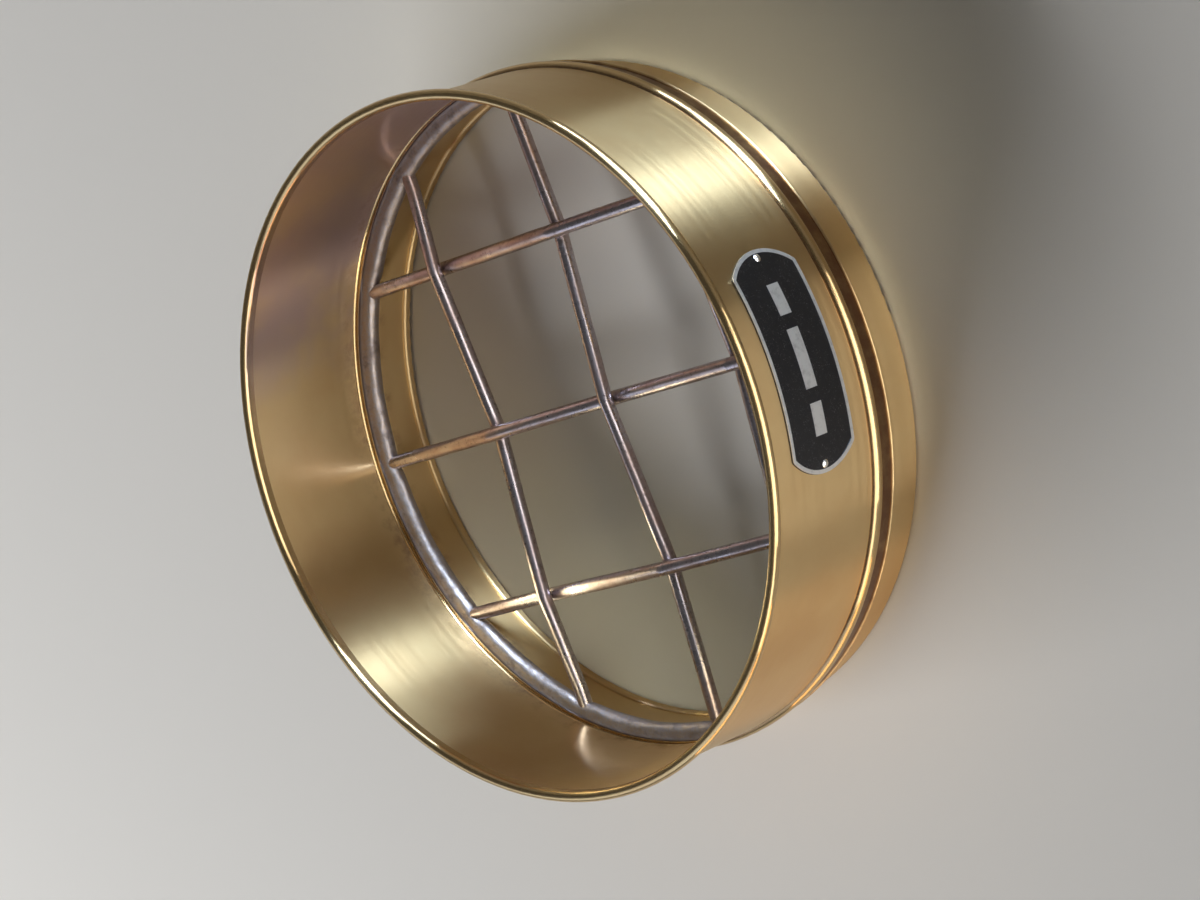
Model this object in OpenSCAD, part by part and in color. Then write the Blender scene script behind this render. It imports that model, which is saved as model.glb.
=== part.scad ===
// Coarse woven-wire test sieve: a spun brass frame 203 mm across and 50 mm
// deep, with a stepped skirt that nests in the next sieve, a bed of
// double-crimped wires soldered on the skirt's ledge, and a curved name plate
// held by two drive pins. Millimetres, +Z up. The origin is the middle of
// the skirt's bottom edge, and the plate faces -Y.

/* [Frame] */
// Inside diameter of the frame, which takes the skirt of the next sieve
frame_bore = 203.2; // [120:0.1:320]
// Thickness of the frame's sheet
frame_wall = 0.9; // [0.6:0.1:1.4]
// Height from the bottom of the skirt to the top of the rim
overall_height = 68; // [50:0.5:110]
// Diameter of the curled bead round the rim
rim_bead_d = 3.2; // [2.6:0.1:4.5]
// Slit between the curl's end and the wall
rim_curl_slit = 0.3; // [0.2:0.05:0.6]
// Outward reach of the pressed bead above the skirt, from the wall
band_bead_reach = 1.5; // [1:0.1:2.2]
// Radius inside the pressed bead's hollow
band_hollow_r = 1.2; // [1.2:0.1:1.9]
// Wall left between the solder and the hollow of the pressed bead
band_bead_clear = 0.15; // [0:0.05:3]

/* [Skirt] */
// Gap all round between the skirt and the frame it drops in
nest_clear = 1.4; // [0.8:0.1:3]
// Thickness of the skirt's sheet
skirt_wall = 0.9; // [0.6:0.1:1.2]
// Height of the ledge that the wires and the frame stand on
ledge_height = 14.75; // [12:0.25:20]
// Radius inside the bend between the skirt and its ledge
ledge_bend = 0.3; // [0.2:0.05:0.5]
// Reach of the ledge past the frame's wall
ledge_lip = 0.5; // [0:0.05:0.6]
// Width of the hem round the skirt's bottom edge
hem_width = 1.8; // [1.5:0.1:2.2]
// Height of the hem
hem_height = 3; // [2.2:0.1:4]

/* [Wire cloth] */
// Diameter of the wires
wire_d = 4.4; // [3:0.1:5]
// Clear opening between neighbouring wires
opening = 47.6; // [44:0.1:53]
// Shift of the cloth's middle from the frame's axis, along X
cloth_shift_x = 2.5; // [-4:0.1:4]
// Shift of the cloth's middle from the frame's axis, along Y
cloth_shift_y = -1.4; // [-4:0.1:4]
// Gap between two wires where they cross
crossing_gap = 0.06; // [0.02:0.01:0.1]
// Level length of a wire before it enters the solder
level_run = 1.5; // [0.5:0.1:3]
// Least gap between an outer wire and the solder beside it
edge_clear = 8; // [3:0.5:12]

/* [Solder ring] */
// Width of the solder ring inside the frame's wall
solder_width = 5; // [4.5:0.1:7]
// Solder over the top of the wires at the ring's nose
solder_cover = 0.4; // [0.3:0.05:1]
// Rise of the solder's top face from its nose to the frame's wall
solder_rise = 0.5; // [0:0.05:1]
// Depth of the solder below the ledge, inside the skirt
solder_sag = 0.35; // [0.2:0.05:0.8]
// Gap left round what the solder holds
solder_gap = 0.05; // [0.02:0.01:0.1]
// Distance from a wire's end to the frame's wall
wire_end_gap = 0.5; // [0.3:0.1:1]

/* [Name plate] */
// Length of the plate
plate_length = 63.4; // [50:0.1:80]
// Height of the plate
plate_height = 26.2; // [20:0.1:32]
// Thickness of the plate
plate_thick = 0.5; // [0.4:0.05:0.8]
// Plain wall between the plate's top edge and the bead round the rim
plate_drop = 8; // [2:0.1:12]
// Radius of the plate's arched ends
plate_end_r = 17.7; // [16.5:0.1:30]
// Radius of the plate's four corners
plate_corner_r = 1.8; // [1.6:0.1:3]
// Width of the raised border
border_width = 1.1; // [0.6:0.1:1.4]
// Height of the raised border and fields
raised = 0.15; // [0.1:0.01:0.3]
// Gap between the plate and the frame
plate_gap = 0.05; // [0.02:0.01:0.1]
// Length of the plain field in the middle of the plate
field_long = 17; // [10:0.5:20]
// Length of each of the plain fields beside it
field_short = 9; // [6:0.5:12]
// Height of the plain fields
field_height = 4.6; // [3:0.1:8]
// Gap between neighbouring fields
field_gap = 4; // [2:0.1:6]

/* [Drive pins] */
// Distance from the plate's end to the axis of its pin
pin_inset = 2.4; // [2.2:0.1:4]
// Diameter of a pin's shank
pin_d = 1.4; // [1:0.1:2]
// Diameter of a pin's head
pin_head_d = 2.4; // [2.1:0.1:3.2]
// Height of a pin's domed head
pin_head_h = 0.6; // [0.4:0.05:0.9]
// Gap round a pin in its holes
pin_gap = 0.05; // [0.02:0.01:0.1]
// Distance from a pin's end to the inside of the frame
pin_end_gap = 0.1; // [0.05:0.05:0.3]

/* [Hidden] */
wire_sides = 20;
bend_steps = 2;
$fn = 128;

brass = [0.83, 0.67, 0.42];
steel = [0.60, 0.58, 0.60];
tin = [0.56, 0.53, 0.53];
black = [0.10, 0.10, 0.11];
silver = [0.85, 0.85, 0.86];

// Frame
bore_r = frame_bore / 2;
wall_r = bore_r + frame_wall;
rim_bead_z = overall_height - rim_bead_d / 2;

// Skirt
skirt_r = bore_r - nest_clear;
skirt_in_r = skirt_r - skirt_wall;
bend_x = skirt_r + ledge_bend;
bend_z = ledge_height - skirt_wall - ledge_bend;
bend_out_r = ledge_bend + skirt_wall;
ledge_r = wall_r + ledge_lip;

// Wire cloth: the wires lie on the ledge, and each one bends round those it
// crosses, half a step above or below the cloth's middle plane. The last bend
// and the level end fit in a run of end_run
pitch = opening + wire_d;
cloth_z = ledge_height + solder_gap + wire_d / 2;
bend_r = wire_d + crossing_gap;
crimp = bend_r / 2;
end_run = 1.5 * bend_r;
wire_end_r = bore_r - wire_end_gap;

// Solder ring
solder_in_r = bore_r - solder_width;
solder_top = cloth_z + wire_d / 2 + solder_cover;
solder_bottom = ledge_height - solder_sag;
nose_r = (solder_top - solder_bottom) / 2;

// Pressed bead, with its hollow just above the solder
band_bead_r = band_hollow_r + frame_wall;
band_bead_x = wall_r + band_bead_reach - band_bead_r;
hollow_half = sqrt(pow(band_hollow_r, 2) - pow(bore_r - band_bead_x, 2));
band_bead_z = solder_top + solder_rise + band_bead_clear + hollow_half;

// Name plate
plate_r = wall_r + plate_gap;
plate_face_r = plate_r + plate_thick;
plate_middle = rim_bead_z - rim_bead_d / 2 - plate_drop - plate_height / 2;
pin_span = plate_length - 2 * pin_inset;
pin_angle = asin(pin_span / 2 / plate_face_r);

// The wires of one direction. A wire is [its steps from the middle one, its
// offset from the frame's axis], and its name gives the middle one number 2.
function last_step(shift) = floor((solder_in_r - edge_clear - wire_d / 2 - shift) / pitch);
function wires(shift) =
    [for (step = [-last_step(-shift) : last_step(shift)]) [step, shift + step * pitch]];
function wire_name(kind, wire) = str(kind, "_wire_", wire[0] + 2);

warp = wires(cloth_shift_y);
weft = wires(cloth_shift_x);

// Distance along a wire, at this offset from the axis, at which the whole
// width of the wire reaches a given radius
function reach(offset, radius) =
    sqrt(pow(radius, 2) - pow(abs(offset) + wire_d / 2, 2));

// A wire's path lies in a plane, with x along it and y its height over the
// cloth's middle plane. It bends round a list of guides. A guide is [x, y of
// its middle, side], and the wire passes above it where side is 1 and below
// it where side is -1. The middle wire passes the middle crossed wire on
// mid_side, and the sides alternate from there.
function guides(wire, crossed, mid_side) =
    let (seat = reach(wire[1], solder_in_r) - level_run,
         room = seat - end_run,
         met = [for (c = crossed) if (abs(c[1]) < room) c],
         side = [for (c = met) mid_side * pow(-1, wire[0] + c[0])],
         last = len(met) - 1)
    concat([[-seat, side[0] * bend_r, -side[0]]],
           [for (k = [0 : last]) [met[k][1], -side[k] * crimp, side[k]]],
           [[seat, side[last] * bend_r, -side[last]]]);

// Slope of the straight run between guides a and b
function slope(a, b) =
    let (dx = b[0] - a[0], dy = b[1] - a[1])
    atan2(dy, dx) - a[2] * asin(2 * bend_r / norm([dx, dy]));

// Station [x, y, slope] where a wire of slope t touches its path round guide g
function station(g, t) =
    [g[0] - g[2] * bend_r * sin(t), g[1] + g[2] * bend_r * cos(t), t];

// Every station of a wire, from end to end
function stations(wire, crossed, mid_side) =
    let (stops = guides(wire, crossed, mid_side),
         last = len(stops) - 1,
         slopes = concat([0], [for (i = [0 : last - 1]) slope(stops[i], stops[i + 1])], [0]),
         end = reach(wire[1], wire_end_r))
    concat([[-end, 0, 0]],
           [for (i = [0 : last], k = [0 : bend_steps])
               station(stops[i], slopes[i] + (slopes[i + 1] - slopes[i]) * k / bend_steps)],
           [[end, 0, 0]]);

// One crimped wire along X: a ring of points at each station, skinned
module crimped_wire(wire, crossed, mid_side) {
    path = stations(wire, crossed, mid_side);
    count = len(path);
    ring = [for (k = [0 : wire_sides - 1]) [cos(360 * k / wire_sides), sin(360 * k / wire_sides)]];
    points = [for (p = path, c = ring)
        [p[0] - wire_d / 2 * c[0] * sin(p[2]), wire_d / 2 * c[1], p[1] + wire_d / 2 * c[0] * cos(p[2])]];
    skin = [for (i = [0 : count - 2], k = [0 : wire_sides - 1])
        let (a = i * wire_sides + k,
             b = i * wire_sides + (k + 1) % wire_sides)
        each [[a, b, b + wire_sides], [a, b + wire_sides, a + wire_sides]]];
    caps = [[for (k = [wire_sides - 1 : -1 : 0]) k],
            [for (k = [0 : wire_sides - 1]) (count - 1) * wire_sides + k]];
    polyhedron(points, concat(skin, caps));
}

// Warp wires run along X, the first of them nearest the plate
module warp_wire(wire) {
    color(steel)
        translate([0, wire[1], cloth_z])
            crimped_wire(wire, weft, 1);
}

// Weft wires run along Y, the first of them nearest -X
module weft_wire(wire) {
    color(steel)
        translate([wire[1], 0, cloth_z])
            rotate([0, 0, 90])
                crimped_wire(wire, warp, -1);
}

// The straight ends of the wires of one direction, grown by the solder's gap
module wire_pockets(wires) {
    for (wire = wires) {
        offset = wire[1];
        start = reach(offset, solder_in_r) - level_run / 2;
        end = reach(offset, wire_end_r) + solder_gap;
        for (side = [-1, 1])
            translate([side * (start + end) / 2, offset, cloth_z])
                rotate([0, 90, 0])
                    cylinder(d = wire_d + 2 * solder_gap, h = end - start, center = true, $fn = 48);
    }
}

// Section of the frame: x is the radius and y the height
module frame_section() {
    difference() {
        union() {
            translate([bore_r, ledge_height])
                square([frame_wall, rim_bead_z - ledge_height]);
            translate([bore_r + rim_bead_d / 2, rim_bead_z])
                circle(d = rim_bead_d, $fn = 48);
            intersection() {
                translate([band_bead_x, band_bead_z])
                    circle(r = band_bead_r, $fn = 64);
                translate([bore_r, band_bead_z - band_bead_r])
                    square(2 * band_bead_r);
            }
        }
        // inside of the curl, and the slit where its end meets the wall
        translate([bore_r + rim_bead_d / 2, rim_bead_z])
            circle(d = rim_bead_d - 2 * frame_wall, $fn = 48);
        translate([wall_r, rim_bead_z - rim_bead_d])
            square([rim_curl_slit, rim_bead_d]);
        // inside of the pressed bead
        translate([band_bead_x, band_bead_z])
            circle(r = band_hollow_r, $fn = 64);
    }
}

// A pin's hole through the frame or the plate
module pin_hole() {
    rotate([90, 0, 0])
        cylinder(d = pin_d + 2 * pin_gap, h = plate_face_r + raised + 1, $fn = 32);
}

module at_pins() {
    for (side = [-1, 1])
        translate([0, 0, plate_middle])
            rotate([0, 0, side * pin_angle])
                children();
}

module frame_body() {
    color(brass)
        difference() {
            rotate_extrude()
                frame_section();
            at_pins()
                pin_hole();
        }
}

// Section of the skirt: a sheet hemmed inward at the bottom, bent outward at
// the top into the ledge
module skirt_section() {
    fold_r = hem_width / 2;
    fold_x = skirt_r - fold_r;
    translate([fold_x, fold_r])
        circle(r = fold_r, $fn = 48);
    translate([fold_x - fold_r, fold_r])
        square([hem_width, hem_height - hem_width]);
    translate([fold_x, hem_height - fold_r])
        circle(r = fold_r, $fn = 48);
    translate([skirt_in_r, fold_r])
        square([skirt_wall, bend_z - fold_r]);
    difference() {
        intersection() {
            translate([bend_x, bend_z])
                circle(r = bend_out_r, $fn = 64);
            translate([bend_x - bend_out_r, bend_z])
                square(bend_out_r);
        }
        translate([bend_x, bend_z])
            circle(r = ledge_bend, $fn = 64);
    }
    translate([bend_x, ledge_height - skirt_wall])
        square([ledge_r - bend_x - skirt_wall / 2, skirt_wall]);
    translate([ledge_r - skirt_wall / 2, ledge_height - skirt_wall / 2])
        circle(d = skirt_wall, $fn = 32);
}

module skirt_ring() {
    color(brass)
        rotate_extrude()
            skirt_section();
}

// Section of the solder: a round-nosed bead against the wall and the ledge
module solder_section() {
    nose_x = solder_in_r + nose_r;
    outer_r = bore_r - solder_gap;
    difference() {
        union() {
            intersection() {
                translate([nose_x, solder_bottom + nose_r])
                    circle(r = nose_r, $fn = 64);
                translate([solder_in_r, solder_bottom])
                    square([outer_r - solder_in_r, 2 * nose_r]);
            }
            polygon([[nose_x, solder_bottom], [outer_r, solder_bottom],
                     [outer_r, solder_top + solder_rise], [nose_x, solder_top]]);
        }
        translate([bend_x, bend_z])
            circle(r = bend_out_r + solder_gap, $fn = 64);
        translate([bend_x, bend_z])
            square([bore_r, ledge_height + solder_gap - bend_z]);
    }
}

module solder_ring() {
    color(tin)
        difference() {
            rotate_extrude()
                solder_section();
            wire_pockets(warp);
            rotate([0, 0, -90])
                wire_pockets(weft);
        }
}

// Points along an arc, from one angle to another
function arc(middle, radius, from, to, steps) =
    [for (i = [0 : steps])
        let (t = from + (to - from) * i / steps)
        middle + radius * [cos(t), sin(t)]];

// Outline of the plate in front view, drawn in by an inset: a band with
// arched ends and round corners
module plate_outline(inset) {
    rise = plate_height / 2 - inset;
    end_r = plate_end_r - inset;
    corner_r = plate_corner_r - inset;
    end_x = plate_length / 2 - plate_end_r;
    corner_y = rise - corner_r;
    corner_x = end_x + sqrt(pow(end_r - corner_r, 2) - pow(corner_y, 2));
    meet = atan2(corner_y, corner_x - end_x);
    right = concat(
        arc([corner_x, corner_y], corner_r, 90, meet, 4),
        arc([end_x, 0], end_r, meet * 0.9, -meet * 0.9, 14),
        arc([corner_x, -corner_y], corner_r, -meet, -90, 4));
    polygon(concat(right, -right));
}

// Three plain fields in a row along the middle of the plate
module plate_fields() {
    square([field_long, field_height], center = true);
    for (side = [-1, 1])
        translate([side * (field_long / 2 + field_gap + field_short / 2), 0])
            square([field_short, field_height], center = true);
}

// Part of a cylindrical shell round the frame's axis, behind the outline that
// children() gives in front view
module on_shell(inner, thick) {
    span = 2 * asin(plate_length / 2 / inner) + 4;
    intersection() {
        rotate([0, 0, -90 - span / 2])
            rotate_extrude(angle = span, $fn = 360)
                translate([inner, plate_middle - plate_height / 2 - 1])
                    square([thick, plate_height + 2]);
        translate([0, 0, plate_middle])
            rotate([90, 0, 0])
                linear_extrude(height = inner + thick + 1)
                    children();
    }
}

module name_plate() {
    color(black)
        difference() {
            on_shell(plate_r, plate_thick + raised)
                plate_outline(0);
            on_shell(plate_face_r, 2 * raised)
                difference() {
                    plate_outline(border_width);
                    plate_fields();
                }
            at_pins()
                pin_hole();
        }
}

// One drive pin with its head on the plate, before it is turned to its place
module plate_pin() {
    head_r = pin_head_d / 2;
    dome_r = (pow(head_r, 2) + pow(pin_head_h, 2)) / (2 * pin_head_h);
    seat_r = plate_face_r + pin_gap;
    shank = seat_r - bore_r - pin_end_gap;
    color(silver)
        translate([0, -seat_r, plate_middle])
            rotate([90, 0, 0])
                rotate_extrude($fn = 48) {
                    intersection() {
                        translate([0, pin_head_h - dome_r])
                            circle(r = dome_r);
                        square([head_r, pin_head_h]);
                    }
                    translate([0, -shank])
                        square([pin_d / 2, shank + pin_head_h / 4]);
                }
}

frame_body();
skirt_ring();
solder_ring();
for (wire = warp)
    warp_wire(wire);
for (wire = weft)
    weft_wire(wire);
name_plate();
rotate([0, 0, -pin_angle]) plate_pin();  // plate_pin_left
rotate([0, 0, pin_angle]) plate_pin();  // plate_pin_right
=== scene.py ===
"""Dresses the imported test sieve: camera, stage, lamps, brass, crimped wires, solder and name plate.

Lengths are in metres unless a name says otherwise, and N * MM is N millimetres. The part stands
on its skirt with +Z up, the name plate faces -Y, and the camera is rolled to show the sieve on
its side.
"""

import math

import bpy
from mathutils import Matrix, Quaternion, Vector, noise


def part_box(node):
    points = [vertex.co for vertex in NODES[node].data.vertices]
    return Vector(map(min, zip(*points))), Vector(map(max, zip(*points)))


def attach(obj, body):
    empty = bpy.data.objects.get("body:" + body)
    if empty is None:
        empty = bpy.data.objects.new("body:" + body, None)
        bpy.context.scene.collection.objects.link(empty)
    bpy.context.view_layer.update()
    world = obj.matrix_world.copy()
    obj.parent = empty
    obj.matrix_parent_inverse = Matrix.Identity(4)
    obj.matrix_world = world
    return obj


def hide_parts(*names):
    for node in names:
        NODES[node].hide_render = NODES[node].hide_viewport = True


MM = 0.001

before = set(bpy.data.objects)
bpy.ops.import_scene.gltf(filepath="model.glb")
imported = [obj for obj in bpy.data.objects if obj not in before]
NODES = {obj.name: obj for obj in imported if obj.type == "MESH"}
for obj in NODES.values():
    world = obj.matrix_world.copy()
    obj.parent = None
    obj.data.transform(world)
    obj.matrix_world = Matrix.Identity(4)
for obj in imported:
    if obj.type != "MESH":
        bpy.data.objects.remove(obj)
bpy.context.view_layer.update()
WARP = ("warp_wire_1", "warp_wire_2", "warp_wire_3")
WEFT = ("weft_wire_1", "weft_wire_2", "weft_wire_3")


# ---------------------------------------------------------------- sizes from the frame

# Sizes that the nodes' boxes don't give.
SOLDER_GAP = 0.05 * MM
SOLDER_WIDTH = 5 * MM
FRAME_WALL = 0.9 * MM
PLATE_GAP = 0.05 * MM
PLATE_THICK = 0.5 * MM
LEVEL_RUN = 1.5 * MM
WIRE_END_GAP = 0.5 * MM
BEAD_ABOVE_SOLDER = 1.31 * MM
BEAD_HALF = 2.0 * MM
RIM_BEAD_DEPTH = 3.2 * MM


def middle(node):
    low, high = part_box(node)
    return (low + high) / 2


def extent(node):
    low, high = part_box(node)
    return high - low


SOLDER_LOW, SOLDER_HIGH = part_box("solder_ring")
LEDGE_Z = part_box("skirt_ring")[1].z
WIRE_R = extent("warp_wire_2").y / 2
CLOTH_Z = middle("warp_wire_2").z
BEND_R = extent("warp_wire_2").z - 2 * WIRE_R
WARP_AT = [middle(node).y for node in WARP]
WEFT_AT = [middle(node).x for node in WEFT]
BORE_R = SOLDER_HIGH.x + SOLDER_GAP
WALL_MID = BORE_R + FRAME_WALL / 2
SOLDER_IN_R = BORE_R - SOLDER_WIDTH
PLATE_FACE_R = BORE_R + FRAME_WALL + PLATE_GAP + PLATE_THICK
BEAD_Z = SOLDER_HIGH.z + BEAD_ABOVE_SOLDER
BEAD_TOP_Z = BEAD_Z + BEAD_HALF
RIM_BEAD_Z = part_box("frame_body")[1].z - RIM_BEAD_DEPTH


# ---------------------------------------------------------------- camera

AIM = Vector((-0.009876, -0.007669, 0.034))
AIM_DISTANCE = 1.12679
CAMERA_ELEVATION = math.radians(44.25)
CAMERA_AZIMUTH = math.radians(-3.82)
CAMERA_ROLL = math.radians(-111.19)
LENS_MM = 116.99
SENSOR_MM = 36
CLIP_NEAR = 0.01
CLIP_FAR = 50


def link(obj):
    bpy.context.scene.collection.objects.link(obj)
    return obj


def make_camera():
    data = bpy.data.cameras.new("camera")
    data.lens = LENS_MM
    data.sensor_width = SENSOR_MM
    data.clip_start = CLIP_NEAR
    data.clip_end = CLIP_FAR
    camera = link(bpy.data.objects.new("camera", data))
    level = math.cos(CAMERA_ELEVATION)
    towards = Vector((math.sin(CAMERA_AZIMUTH) * level, math.cos(CAMERA_AZIMUTH) * level,
                      -math.sin(CAMERA_ELEVATION)))
    roll = Quaternion((0, 0, 1), CAMERA_ROLL)
    camera.location = AIM - towards * AIM_DISTANCE
    camera.rotation_mode = "QUATERNION"
    camera.rotation_quaternion = towards.to_track_quat("-Z", "Y") @ roll
    bpy.context.scene.camera = camera


# ---------------------------------------------------------------- meshes

def smooth_mesh(name, verts, faces):
    mesh = bpy.data.meshes.new(name)
    mesh.from_pydata(verts, [], faces)
    mesh.polygons.foreach_set("use_smooth", [True] * len(mesh.polygons))
    return link(bpy.data.objects.new(name, mesh))


def lathe(name, profile, turns, closed=False):
    """A mesh spun about Z from (radius, height) points, which run upward on an outer face.
    A point may also be a function that gives them for the turn's angle."""
    verts = []
    for point in profile:
        for j in range(turns):
            angle = math.tau * j / turns
            radius, height = point(angle) if callable(point) else point
            verts.append((radius * math.cos(angle), radius * math.sin(angle), height))
    rows = len(profile)
    faces = []
    for i in range(rows if closed else rows - 1):
        low, high = i * turns, (i + 1) % rows * turns
        for j in range(turns):
            k = (j + 1) % turns
            faces.append((low + j, low + k, high + k, high + j))
    return smooth_mesh(name, verts, faces)


# ---------------------------------------------------------------- material building

# The stretch of a noise's values that holds nearly all of it.
WIDE = (0.3, 0.7)

FULL_BRUSHING = 1.0
QUARTER_TURN = 0.25


class Surface:
    """A node material round one Principled shader. Coordinates are the part's own, in metres.

    A noise is given as its scale per metre, its detail and its roughness. A window is the pair
    of values between which something changes."""

    def __init__(self, name, **values):
        self.material = bpy.data.materials.new(name)
        self.material.use_nodes = True
        self.tree = self.material.node_tree
        self.shader = self.tree.nodes["Principled BSDF"]
        for socket, value in values.items():
            self.feed(socket, value)

    def feed(self, socket, value):
        self.join(self.shader.inputs[socket], value)

    def join(self, socket, value):
        if isinstance(value, bpy.types.NodeSocket):
            self.tree.links.new(value, socket)
        else:
            socket.default_value = value

    def node(self, kind, inputs=None, output=0, **settings):
        """Adds a node with these settings and inputs, and returns one of its outputs."""
        made = self.tree.nodes.new("ShaderNode" + kind)
        for field, value in settings.items():
            setattr(made, field, value)
        for socket, value in (inputs or {}).items():
            self.join(made.inputs[socket], value)
        return made.outputs[output]

    def place(self):
        return self.node("TexCoord", output="Object")

    def calc(self, operation, a, b):
        return self.node("Math", {0: a, 1: b}, operation=operation)

    def times(self, *values):
        product = values[0]
        for value in values[1:]:
            product = self.calc("MULTIPLY", product, value)
        return product

    def stretch(self, factors):
        return self.node("VectorMath", {0: self.place(), 1: factors}, operation="MULTIPLY")

    def noise(self, where, scale, detail, roughness):
        return self.node("TexNoise", {"Vector": where, "Scale": scale, "Detail": detail,
                                      "Roughness": roughness})

    def rings(self, scale, detail):
        """A noise that changes with the height alone, as turning marks do."""
        height = self.times(self.height(), scale)
        return self.node("TexNoise", {"W": height, "Scale": 1.0, "Detail": detail},
                         noise_dimensions="1D")

    def span(self, value, window, to=(0.0, 1.0)):
        """Takes the window, which may also run downward, smoothly to another pair of values."""
        ends = {"From Min": window[0], "From Max": window[1], "To Min": to[0], "To Max": to[1]}
        return self.node("MapRange", {"Value": value, **ends}, interpolation_type="SMOOTHSTEP")

    def mix(self, share, a, b):
        """Two colours, mixed by a share from 0 to 1."""
        made = self.tree.nodes.new("ShaderNodeMix")
        made.data_type = "RGBA"
        # Every data type has sockets of its own. Inputs 6 and 7 and output 2 are the colours.
        self.join(made.inputs["Factor"], share)
        self.join(made.inputs[6], a)
        self.join(made.inputs[7], b)
        return made.outputs[2]

    def bumps(self, *layers):
        """Height layers, each (height, depth in metres), laid over one another as a normal."""
        normal = None
        for height, depth in layers:
            inputs = {"Height": height, "Distance": depth}
            if normal:
                inputs["Normal"] = normal
            normal = self.node("Bump", inputs)
        self.feed("Normal", normal)

    def radius(self):
        """The distance from the part's axis."""
        flat = self.stretch((1, 1, 0))
        return self.node("VectorMath", {0: flat}, output="Value", operation="LENGTH")

    def height(self):
        return self.node("SeparateXYZ", {0: self.place()}, output="Z")

    def facing(self, bearing):
        """1 on the side of the part at this bearing from +X, falling to -1 on the far side."""
        out = self.node("VectorMath", {0: self.stretch((1, 1, 0))}, operation="NORMALIZE")
        way = (math.cos(math.radians(bearing)), math.sin(math.radians(bearing)), 0)
        return self.node("VectorMath", {0: out, 1: way}, output="Value", operation="DOT_PRODUCT")

    def brush_round_axis(self):
        """Brushing round Z, which spreads a highlight up and down the wall."""
        tangent = self.node("Tangent", direction_type="RADIAL", axis="Z")
        self.feed("Tangent", tangent)
        self.feed("Anisotropic", FULL_BRUSHING)
        self.feed("Anisotropic Rotation", QUARTER_TURN)


# ---------------------------------------------------------------- stage and lamps

STAGE_RADIUS = 3.2
STAGE_HEIGHT = 2.2
STAGE_SWEEP = 0.5
SWEEP_STEPS = 12
STAGE_TURNS = 96
PAPER_COLOUR = (0.66, 0.65, 0.63, 1)
PAPER_ROUGHNESS = 0.9

WHITE = (1, 1, 1)
PALE_BLUE = (0.70, 0.80, 1)
BLUE = (0.56, 0.74, 1)
AMBER = (1, 0.6, 0.28)

# Each lamp has its name, the azimuths and elevations that it fills as seen from the part, in
# degrees, its distance, its radiance and its colour.
KEY_LAMP = ("key", (95, 145), (18, 42), 2.0, 10.5, WHITE)
PANELS = (
    ("strip", (-43, -29), (0, 46), 1.5, 38.0, BLUE),
    ("strip_low", (-29, -6), (0, 12), 1.5, 19.0, BLUE),
    ("strip_high", (-29, -16), (18, 46), 1.5, 8.0, BLUE),
    ("front_low", (-136, -74), (0, 16), 1.6, 5.0, WHITE),
    ("front_high", (-165, -86), (20, 48), 1.6, 3.0, WHITE),
    ("warm_low", (160, 208), (0, 12), 1.6, 4.5, AMBER),
    ("cool_high", (100, 180), (22, 48), 1.6, 1.2, PALE_BLUE),
)
WORLD_COLOUR = (0.8, 0.8, 0.8, 1)
WORLD_STRENGTH = 0.1


def make_stage():
    """A pale floor that sweeps up into a round backdrop. Its paper has no gloss, so that it
    doesn't take on the panels' colours."""
    bends = [math.radians(90 * i / SWEEP_STEPS) for i in range(SWEEP_STEPS + 1)]
    edge = STAGE_RADIUS - STAGE_SWEEP
    sweep = [(edge + STAGE_SWEEP * math.sin(t), STAGE_SWEEP * (1 - math.cos(t))) for t in bends]
    profile = [(STAGE_RADIUS, STAGE_HEIGHT)] + sweep[::-1] + [(0.0, 0.0)]
    floor = lathe("floor", profile, STAGE_TURNS)
    paper = Surface("floor_paper", Roughness=PAPER_ROUGHNESS)
    paper.feed("Base Color", PAPER_COLOUR)
    paper.feed("Specular IOR Level", 0.0)
    floor.data.materials.append(paper.material)


def panel_side(degrees, distance):
    """The side of a panel that fills this stretch of degrees at this distance."""
    return 2 * distance * math.tan(math.radians(degrees[1] - degrees[0]) / 2)


def area_lamp(name, azimuths, elevations, distance, radiance, colour):
    """A soft panel that faces the part and that the camera doesn't see."""
    data = bpy.data.lights.new(name, "AREA")
    data.shape = "RECTANGLE"
    data.size = panel_side(azimuths, distance)
    data.size_y = panel_side(elevations, distance)
    data.energy = radiance * math.pi * data.size * data.size_y
    data.color = colour
    lamp = link(bpy.data.objects.new(name, data))
    azimuth = math.radians(sum(azimuths) / 2)
    elevation = math.radians(sum(elevations) / 2)
    away = Vector((math.cos(azimuth) * math.cos(elevation), math.sin(azimuth) * math.cos(elevation),
                   math.sin(elevation)))
    lamp.location = away * distance
    lamp.rotation_mode = "QUATERNION"
    lamp.rotation_quaternion = (-away).to_track_quat("-Z", "Y")
    lamp.visible_camera = False
    return lamp


def make_lamps():
    """The key lights the scene and isn't mirrored. The panels are only there to be mirrored."""
    area_lamp(*KEY_LAMP).visible_glossy = False
    for panel in PANELS:
        area_lamp(*panel).visible_diffuse = False
    world = bpy.data.worlds.new("studio")
    world.use_nodes = True
    background = world.node_tree.nodes["Background"]
    background.inputs["Color"].default_value = WORLD_COLOUR
    background.inputs["Strength"].default_value = WORLD_STRENGTH
    bpy.context.scene.world = world


# ---------------------------------------------------------------- brass

BRASS = (0.62, 0.44, 0.215, 1)
BRASS_WARM = (0.55, 0.35, 0.16, 1)
BRASS_STAIN = (0.25, 0.13, 0.065, 1)
# Painted reflection: a mauve cast laid on one side of the inner wall.
BRASS_MAUVE_REFLECTION = (0.44, 0.32, 0.30, 1)
# Painted shade: dark brown in the groove below the pressed bead and in the crease along its top.
BRASS_GROOVE_SHADE = (0.17, 0.085, 0.05, 1)

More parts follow.
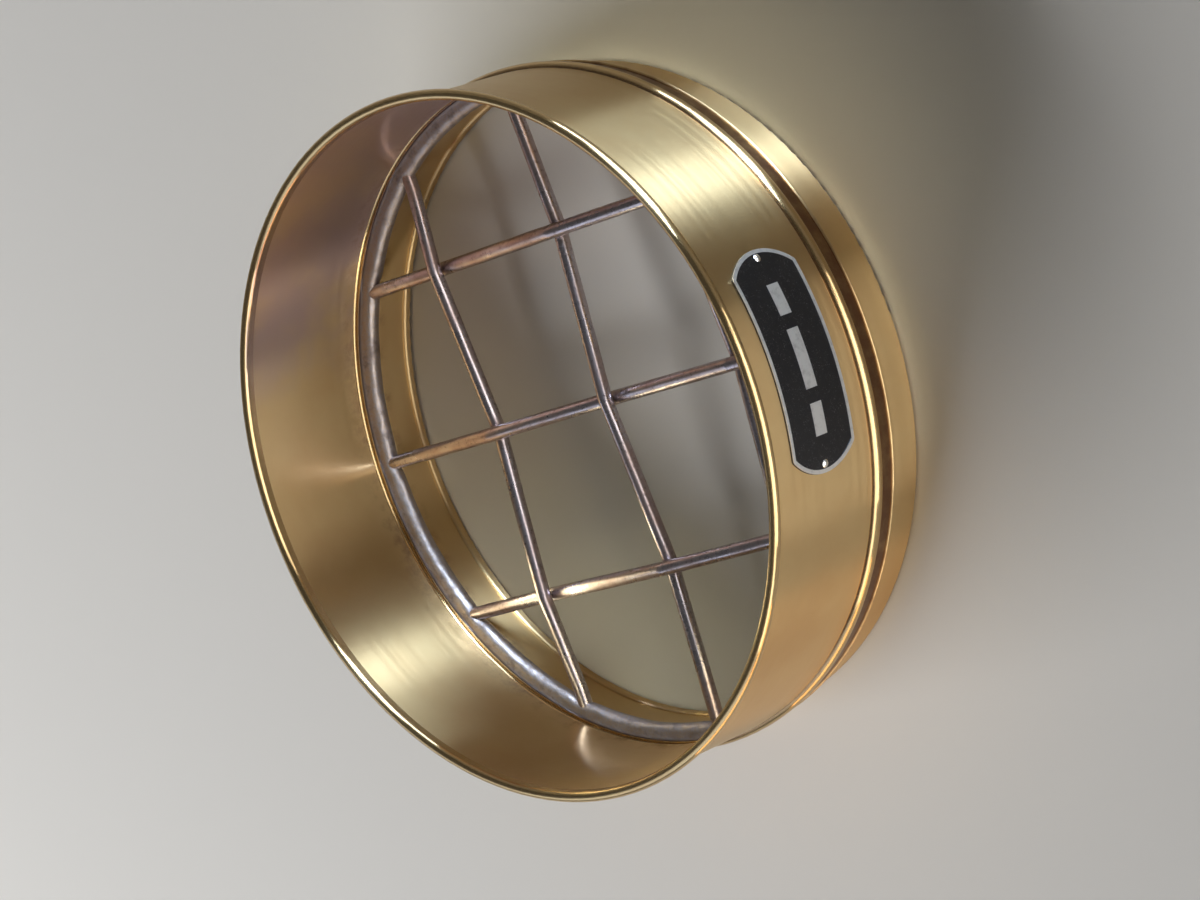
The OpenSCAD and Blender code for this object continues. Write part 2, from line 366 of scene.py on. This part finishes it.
CLOUDS = (28, 4, 0.6)
CLOUD_WINDOW = (0.35, 0.7)
CLOUD_SHARES = (0, 0.55)
LINES = (4200, 2)
LINE_DEPTH = 0.001 * MM
BANDS = (500, 3)
BAND_DEPTH = 0.0015 * MM
BAND_ROUGHNESS = (0.275, 0.30)
RIPPLES_PER_M = (22, 22, 12)
RIPPLES = (1, 1, 0.4)
RIPPLE_DEPTH = 0.22 * MM

# The change from the wall's inner face to its outer one.
FACE_BLEND = 0.2 * MM
BLOTCHES = (150, 5, 0.65)
DRIFT = (16, 4, 0.6)

# Where the painted mauve reflection lies on the inner wall, and how it breaks up.
REFLECTION_BEARING = 15
REFLECTION_WINDOW = (0.6, 0.9)
REFLECTION_WANDER = (-0.12, 0.12)
REFLECTION_PATCH_WINDOW = (0.3, 0.65)
REFLECTION_SHARES = (0.55, 1)

STAIN_RISE = 11 * MM
STAIN_WINDOW = (0.44, 0.68)
STAIN_SHARE = 0.75
STAIN_ROUGHNESS = 0.2

# Where the painted shade below the bead starts, as a share of the way down from the bead's middle to
# its foot.
GROOVE_SHADE_START = 0.4
CREASE_SHADE_BELOW = 0.6 * MM
CREASE_SHADE_ABOVE = 0.5 * MM
CREASE_SHADE_SHARE = 0.7
GROOVE_SHADE_PATCH_WINDOW = (0.2, 0.6)
GROOVE_SHADE_SHARES = (0.6, 0.95)

RIM_BLEND_BELOW = 0.4 * MM
RIM_BLEND_ABOVE = 0.2 * MM
POLISH = 0.6

SKIRT_STAIN_LOW = 5 * MM
SKIRT_STAIN_HIGH = 1.2 * MM
SKIRT_STAIN_WINDOW = (0.45, 0.75)
SKIRT_STAIN_SHARE = 0.7


def brass_surface(name):
    """Spun brass with fine turning lines and the slow ripples of the sheet.
    Returns the surface, its colour and its roughness, neither of which is fed yet."""
    s = Surface(name, Metallic=1.0)
    clouds = s.noise(s.place(), *CLOUDS)
    lines = s.rings(*LINES)
    bands = s.rings(*BANDS)
    ripples = s.noise(s.stretch(RIPPLES_PER_M), *RIPPLES)
    s.brush_round_axis()
    s.bumps((ripples, RIPPLE_DEPTH), (bands, BAND_DEPTH), (lines, LINE_DEPTH))
    tone = s.mix(s.span(clouds, CLOUD_WINDOW, CLOUD_SHARES), BRASS, BRASS_WARM)
    return s, tone, s.span(bands, WIDE, BAND_ROUGHNESS)


def inner_painted_reflection(s, inside):
    """The share of the painted mauve reflection, which lies on one side of the inner wall."""
    drift = s.noise(s.place(), *DRIFT)
    side = s.calc("ADD", s.facing(REFLECTION_BEARING), s.span(drift, WIDE, REFLECTION_WANDER))
    patches = s.span(drift, REFLECTION_PATCH_WINDOW, REFLECTION_SHARES)
    return s.times(inside, s.span(side, REFLECTION_WINDOW), patches)


def groove_painted_shade(s, height, outside, blotches):
    """The share of painted shade below the pressed bead, and in a thin line of painted shade along
    the crease at the bead's top, broken into patches.
    """
    low = s.span(height, (BEAD_Z - GROOVE_SHADE_START * BEAD_HALF, BEAD_Z - BEAD_HALF))
    rising = s.span(height, (BEAD_TOP_Z - CREASE_SHADE_BELOW, BEAD_TOP_Z))
    falling = s.span(height, (BEAD_TOP_Z + CREASE_SHADE_ABOVE, BEAD_TOP_Z))
    line = s.times(rising, falling, CREASE_SHADE_SHARE)
    patches = s.span(blotches, GROOVE_SHADE_PATCH_WINDOW, GROOVE_SHADE_SHARES)
    return s.times(outside, s.calc("MAXIMUM", low, line), patches)


def frame_brass():
    """The frame: polished beads, painted shade in the groove and along the bead's top, stains inside,
    and a painted mauve reflection on one side of the inner wall.
    """
    s, tone, rough = brass_surface("brass_frame")
    height = s.height()
    blotches = s.noise(s.place(), *BLOTCHES)
    inside = s.span(s.radius(), (WALL_MID, WALL_MID - FACE_BLEND))
    outside = s.calc("SUBTRACT", 1.0, inside)
    near_solder = s.span(height, (SOLDER_HIGH.z + STAIN_RISE, SOLDER_HIGH.z))
    stain = s.times(s.span(blotches, STAIN_WINDOW), inside, near_solder)
    # Painted reflection: mauve on one side of the inner wall.
    tone = s.mix(inner_painted_reflection(s, inside), tone, BRASS_MAUVE_REFLECTION)
    tone = s.mix(s.times(stain, STAIN_SHARE), tone, BRASS_STAIN)
    # Painted shade in the groove below the bead and in the crease along its top.
    tone = s.mix(groove_painted_shade(s, height, outside, blotches), tone, BRASS_GROOVE_SHADE)
    s.feed("Base Color", tone)

    foot = s.times(outside, s.span(height, (BEAD_TOP_Z + CREASE_SHADE_ABOVE, BEAD_TOP_Z)))
    rim = s.span(height, (RIM_BEAD_Z - RIM_BLEND_BELOW, RIM_BEAD_Z + RIM_BLEND_ABOVE))
    polish = s.span(s.calc("MAXIMUM", foot, rim), (0, 1), (1, POLISH))
    rough = s.calc("ADD", rough, s.times(stain, STAIN_ROUGHNESS))
    s.feed("Roughness", s.times(rough, polish))
    return s.material


def skirt_brass():
    """The skirt, stained below its ledge."""
    s, tone, rough = brass_surface("brass_skirt")
    blotches = s.noise(s.place(), *BLOTCHES)
    near_ledge = s.span(s.height(), (LEDGE_Z - SKIRT_STAIN_LOW, LEDGE_Z - SKIRT_STAIN_HIGH))
    stain = s.times(s.span(blotches, SKIRT_STAIN_WINDOW), near_ledge, SKIRT_STAIN_SHARE)
    s.feed("Base Color", s.mix(stain, tone, BRASS_STAIN))
    s.feed("Roughness", rough)
    return s.material


# ---------------------------------------------------------------- wires

WIRE_SIDES = 28
BEND_STEPS = 12
RUN_STEP = 2.5 * MM

# Shares of the CAD wire's radius: an unmarked wire's, and the depths of its marks.
WIRE_FULL = 0.985
DENT_DEPTH = 0.05
PIT_DEPTH = 0.012
SWELL_DEPTH = 0.02
DENT_REACH = 1.5 * MM
PITS_PER_M = 700
PITS_PER_RADIAN = 1.5
SWELLS_PER_M = 90
SEED_STEP = 3.1
WEFT_SEED = 40

STEEL = (0.50, 0.44, 0.445, 1)
STEEL_WARM = (0.41, 0.30, 0.265, 1)
STEEL_DARK = (0.16, 0.125, 0.125, 1)
DRAWN_ALONG_PER_M = 25
DRAWN_ACROSS_PER_M = 2400
DRAWN_LINES = (1, 2, 0.6)
DRAWN_DEPTH = 0.012 * MM
DRAWN_SHARES = (0.25, 0.8)
STEEL_BLOOM = (60, 4, 0.65)
STEEL_BLOOM_WINDOW = (0.4, 0.68)
STEEL_ROUGHNESS_WINDOW = (0.35, 0.7)
STEEL_ROUGHNESS = (0.25, 0.38)
STEEL_PITS = (900, 3, 0.6)
STEEL_PIT_WINDOW = (0.52, 0.7)
STEEL_PIT_DEPTH = 0.02 * MM


def dress(piece, material, slot, *nodes):
    """Gives a piece its finish and lets it stand for CAD nodes."""
    piece.data.materials.append(material)
    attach(piece, "root")
    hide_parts(*nodes)


def wire_reach(offset, radius):
    """How far along its run a wire at this offset from the axis first touches this radius."""
    return math.sqrt(radius ** 2 - (abs(offset) + WIRE_R) ** 2)


def wire_stations(offset, crossed, sides):
    """(x, z, slope) along a wire that bends round the wires it crosses, above where side is 1."""
    seat = wire_reach(offset, SOLDER_IN_R) - LEVEL_RUN
    stops = [(-seat, sides[0] * BEND_R, -sides[0])]
    stops += [(x, -side * BEND_R / 2, side) for x, side in zip(crossed, sides)]
    stops += [(seat, sides[-1] * BEND_R, -sides[-1])]
    slopes = [0.0]
    for (x0, z0, side), (x1, z1, _) in zip(stops, stops[1:]):
        slopes.append(math.atan2(z1 - z0, x1 - x0)
                      - side * math.asin(2 * BEND_R / math.hypot(x1 - x0, z1 - z0)))
    slopes.append(0.0)
    end = wire_reach(offset, BORE_R - WIRE_END_GAP)
    path = [(-end, 0.0, 0.0)]
    for (x, z, side), t0, t1 in zip(stops, slopes, slopes[1:]):
        for k in range(BEND_STEPS + 1):
            t = t0 + (t1 - t0) * k / BEND_STEPS
            path.append((x - side * BEND_R * math.sin(t), z + side * BEND_R * math.cos(t), t))
    path.append((end, 0.0, 0.0))
    return path


def fill_runs(path):
    """Adds stations along the straight runs, so that the surface can carry small marks."""
    full = [path[0]]
    for (x0, z0, _), (x1, z1, t1) in zip(path, path[1:]):
        count = max(1, round(math.hypot(x1 - x0, z1 - z0) / RUN_STEP))
        for k in range(1, count + 1):
            full.append((x0 + (x1 - x0) * k / count, z0 + (z1 - z0) * k / count, t1))
    return full


def wire_radius(x, turn, crossed, sides, seed):
    """The radius at one point: dented where a crossing wire presses in, pitted and uneven."""
    near, side = min((abs(x - c), s) for c, s in zip(crossed, sides))
    press = math.exp(-(near / DENT_REACH) ** 2)
    dent = DENT_DEPTH * press * max(0.0, -side * math.cos(turn)) ** 2
    pits = PIT_DEPTH * noise.noise(Vector((x * PITS_PER_M, turn * PITS_PER_RADIAN, seed)))
    slow = Vector((x * SWELLS_PER_M, math.cos(turn), seed + math.sin(turn)))
    return WIRE_R * (WIRE_FULL - dent + pits + SWELL_DEPTH * noise.noise(slow))


def tube_faces(rings, sides):
    """Faces of a tube along +X whose rings turn from +Z towards +Y, with its two caps."""
    faces = []
    for i in range(rings - 1):
        for k in range(sides):
            a, b = i * sides + k, i * sides + (k + 1) % sides
            faces.append((a, a + sides, b + sides, b))
    last = (rings - 1) * sides
    faces.append(tuple(range(sides)))
    faces.append(tuple(range(last, last + sides))[::-1])
    return faces


def crimped_wire(name, offset, crossed, sides, along_y, seed):
    """A drawn wire along X at y = offset, or turned a quarter along Y at x = offset."""
    path = fill_runs(wire_stations(offset, crossed, sides))
    verts = []
    for x, z, slope in path:
        for k in range(WIRE_SIDES):
            turn = math.tau * k / WIRE_SIDES
            r = wire_radius(x, turn, crossed, sides, seed)
            along = x - r * math.cos(turn) * math.sin(slope)
            high = CLOTH_Z + z + r * math.cos(turn) * math.cos(slope)
            across = r * math.sin(turn)
            verts.append((offset - across, along, high) if along_y
                         else (along, offset + across, high))
    return smooth_mesh(name, verts, tube_faces(len(path), WIRE_SIDES))


def wire_steel(name, grain):
    """Drawn steel: lines along the wire, a warm bloom and dark pits."""
    s = Surface(name, Metallic=1.0)
    lines = s.noise(s.stretch(grain), *DRAWN_LINES)
    bloom = s.noise(s.place(), *STEEL_BLOOM)
    pits = s.noise(s.place(), *STEEL_PITS)
    tone = s.mix(s.span(bloom, STEEL_BLOOM_WINDOW), STEEL, STEEL_WARM)
    dark = s.times(s.span(pits, STEEL_PIT_WINDOW), s.span(lines, WIDE, DRAWN_SHARES))
    s.feed("Base Color", s.mix(dark, tone, STEEL_DARK))
    s.feed("Roughness", s.span(bloom, STEEL_ROUGHNESS_WINDOW, STEEL_ROUGHNESS))
    s.bumps((lines, DRAWN_DEPTH), (pits, STEEL_PIT_DEPTH))
    return s.material


def make_cloth():
    """Three warp wires along X and three weft wires along Y, over and under by turns."""
    along, across = DRAWN_ALONG_PER_M, DRAWN_ACROSS_PER_M
    steel_x = wire_steel("drawn_steel_x", (along, across, across))
    steel_y = wire_steel("drawn_steel_y", (across, along, across))
    for i, node in enumerate(WARP):
        sides = [(-1) ** (i + j) for j in range(len(WEFT))]
        seed = SEED_STEP * i
        wire = crimped_wire("crimped_" + node, WARP_AT[i], WEFT_AT, sides, False, seed)
        dress(wire, steel_x, "wire", node)
    for i, node in enumerate(WEFT):
        sides = [-(-1) ** (i + j) for j in range(len(WARP))]
        seed = WEFT_SEED + SEED_STEP * i
        wire = crimped_wire("crimped_" + node, WEFT_AT[i], WARP_AT, sides, True, seed)
        dress(wire, steel_y, "wire", node)


# ---------------------------------------------------------------- solder

SOLDER_TURNS = 1080
NOSE_SIDES = 14

# The bead's profile: a slope at the wall, a round nose, and the foot over the ledge's edge.
# Each name with IN is a distance in from the bore.
SOLDER_SKIN = 0.02 * MM
NOSE_DROP = 0.5 * MM
SLOPE_HIGH_IN = 0.45 * MM
SLOPE_HIGH_RISE = 0.30 * MM
SLOPE_LOW_IN = 1.3 * MM
SLOPE_LOW_RISE = 0.10 * MM
FOOT_LOW_IN = 2.35 * MM
FOOT_HIGH_IN = 1.9 * MM

# How the bead wanders, in mm, and how finely.
WANDER_PER_M = 60
SLOW_SCALE = 6.0
QUICK_SCALE = 26.0
QUICK_SEED = Vector((7, 0, 0))
SLOW_INWARD_MM = 0.28
QUICK_INWARD_MM = 0.12
DRAWN_BACK_MM = 0.22
SLOW_LIFT_MM = 0.10
QUICK_LIFT_MM = 0.06
SAG_MM = 0.10
MOUTH_DEPTH_MM = 0.75
MOUTH_REACH = 3.4 * MM

TIN = (0.37, 0.325, 0.315, 1)
# Used both for dark patches in the tin and for the painted shade at the wall.
TIN_DARK = (0.15, 0.115, 0.105, 1)
TIN_BRASSY = (0.40, 0.28, 0.17, 1)
FROST = (1400, 4, 0.6)
FROST_WINDOW = (0.35, 0.7)
FROST_SHARES = (0, 0.5)
FROST_DEPTH = 0.03 * MM
FLOW = (230, 4, 0.6)
FLOW_WINDOW = (0.5, 0.75)
FLOW_SHARE = 0.75
FLOW_ROUGHNESS = (0.40, 0.55)
FLOW_DEPTH = 0.25 * MM
# Painted shade: the tin darkens towards the wall, in the corner where the bead meets it.
CORNER_SHADE_FROM = 1.0 * MM
CORNER_SHADE_TO = 0.1 * MM


def wire_mouths():
    """The angle of each place where a wire enters the solder."""
    mouths = []
    for at, along_y in [(y, False) for y in WARP_AT] + [(x, True) for x in WEFT_AT]:
        reach = wire_reach(at, SOLDER_IN_R)
        for side in (-1, 1):
            x, y = (at, side * reach) if along_y else (side * reach, at)
            mouths.append(math.atan2(y, x))
    return mouths


def solder_profile():
    """(radius, height, freedom) round the bead; freedom is how much a point may wander."""
    top, low = SOLDER_HIGH.z - NOSE_DROP, SOLDER_LOW.z
    nose = (top - low) / 2
    centre_r, centre_z = SOLDER_IN_R + nose, low + nose
    points = [(BORE_R - SOLDER_SKIN, SOLDER_HIGH.z - SOLDER_SKIN, 0.0),
              (BORE_R - SLOPE_HIGH_IN, top + SLOPE_HIGH_RISE, 0.5),
              (BORE_R - SLOPE_LOW_IN, top + SLOPE_LOW_RISE, 1.0)]
    for k in range(NOSE_SIDES + 1):
        t = math.radians(90 + 180 * k / NOSE_SIDES)
        points.append((centre_r + nose * math.cos(t), centre_z + nose * math.sin(t), 1.0))
    points += [(BORE_R - FOOT_LOW_IN, low + SOLDER_SKIN, 0.3),
               (BORE_R - FOOT_HIGH_IN, LEDGE_Z, 0.0),
               (BORE_R - SOLDER_SKIN, LEDGE_Z + SOLDER_GAP, 0.0)]
    return points


def solder_point(radius, height, freedom, mouths):
    """One profile point as a function of the angle: it sags, wanders, and draws back where a
    wire enters."""
    def place(angle):
        around = Vector((math.cos(angle), math.sin(angle), height * WANDER_PER_M))
        slow = noise.noise(around * SLOW_SCALE)
        quick = noise.noise(around * QUICK_SCALE + QUICK_SEED)
        gaps = [abs((angle - m + math.pi) % math.tau - math.pi) * SOLDER_IN_R for m in mouths]
        mouth = math.exp(-(min(gaps) / MOUTH_REACH) ** 2)
        inward = (SLOW_INWARD_MM * slow + QUICK_INWARD_MM * quick - DRAWN_BACK_MM
                  - MOUTH_DEPTH_MM * mouth)
        lift = SLOW_LIFT_MM * slow + QUICK_LIFT_MM * quick - SAG_MM
        return radius - freedom * inward * MM, height + freedom * lift * MM
    return place


def solder_finish():
    """Frosted tin that takes on some brass, dark in patches, with painted shade in the corner where
    it meets the wall.
    """
    s = Surface("tin_solder", Metallic=1.0)
    frost = s.noise(s.place(), *FROST)
    flow = s.noise(s.place(), *FLOW)
    # Painted shade in the corner at the wall, taken together with the dark flow patches.
    edge = s.span(s.radius(), (BORE_R - CORNER_SHADE_FROM, BORE_R - CORNER_SHADE_TO))
    dark = s.calc("MAXIMUM", s.times(s.span(flow, FLOW_WINDOW), FLOW_SHARE), edge)
    tone = s.mix(s.span(frost, FROST_WINDOW, FROST_SHARES), TIN, TIN_BRASSY)
    s.feed("Base Color", s.mix(dark, tone, TIN_DARK))
    s.feed("Roughness", s.span(flow, WIDE, FLOW_ROUGHNESS))
    s.bumps((flow, FLOW_DEPTH), (frost, FROST_DEPTH))
    return s.material


def make_solder():
    mouths = wire_mouths()
    profile = [solder_point(*point, mouths) for point in solder_profile()]
    ring = lathe("solder_bead", profile, SOLDER_TURNS, closed=True)
    dress(ring, solder_finish(), "solder", "solder_ring")


# ---------------------------------------------------------------- name plate and pins

ENAMEL = (0.012, 0.010, 0.014, 1)
ENAMEL_WORN = (0.13, 0.115, 0.13, 1)
SILVER = (0.78, 0.77, 0.75, 1)
SILVER_DULL = (0.40, 0.38, 0.37, 1)
RAISED_FROM = 0.03 * MM
RAISED_TO = 0.07 * MM
# The enamel's, then the bare metal's.
PLATE_ROUGHNESS = (0.38, 0.42)
GRAIN = (2600, 3, 0.6)
GRAIN_WINDOW = (0.56, 0.66)
GRAIN_DEPTH = 0.015 * MM
RUBS = (420, 5, 0.7)
RUB_WINDOW = (0.42, 0.62)
RUB_DEPTH = 0.03 * MM
DULL_WINDOW = (0.45, 0.75)
DULL_SHARES = (0, 0.5)

PIN_BRIGHT = (0.80, 0.79, 0.77, 1)
PIN_DULL = (0.5, 0.48, 0.45, 1)
PIN_ROUGHNESS = 0.22
SCRATCHES = (3000, 3, 0.7)
SCRATCH_WINDOW = (0.5, 0.7)
SCRATCH_DEPTH = 0.01 * MM


def plate_finish():
    """Black enamel between a bare border and bare fields, which stand a little prouder."""
    s = Surface("etched_plate")
    raised = s.span(s.radius(), (PLATE_FACE_R + RAISED_FROM, PLATE_FACE_R + RAISED_TO))
    grain = s.noise(s.place(), *GRAIN)
    rubs = s.noise(s.place(), *RUBS)
    worn = s.times(s.span(grain, GRAIN_WINDOW), s.span(rubs, RUB_WINDOW))
    bare = s.mix(s.span(rubs, DULL_WINDOW, DULL_SHARES), SILVER, SILVER_DULL)
    s.feed("Base Color", s.mix(raised, s.mix(worn, ENAMEL, ENAMEL_WORN), bare))
    s.feed("Metallic", raised)
    s.feed("Roughness", s.span(raised, (0, 1), PLATE_ROUGHNESS))
    s.bumps((rubs, RUB_DEPTH), (grain, GRAIN_DEPTH))
    return s.material


def pin_finish():
    """Polished metal with fine scratches."""
    s = Surface("polished_pin", Metallic=1.0)
    scratches = s.noise(s.place(), *SCRATCHES)
    s.feed("Base Color", s.mix(s.span(scratches, SCRATCH_WINDOW), PIN_BRIGHT, PIN_DULL))
    s.feed("Roughness", PIN_ROUGHNESS)
    s.bumps((scratches, SCRATCH_DEPTH))
    return s.material


def finish_node(node, material):
    """Gives its finish to a CAD node that stays visible."""
    materials = NODES[node].data.materials
    materials.clear()
    materials.append(material)


# ---------------------------------------------------------------- run

make_camera()
make_stage()
make_lamps()
make_cloth()
make_solder()
finish_node("frame_body", frame_brass())
finish_node("skirt_ring", skirt_brass())
finish_node("name_plate", plate_finish())
polished = pin_finish()
finish_node("plate_pin_left", polished)
finish_node("plate_pin_right", polished)

bpy.context.scene.view_settings.view_transform = "Standard"
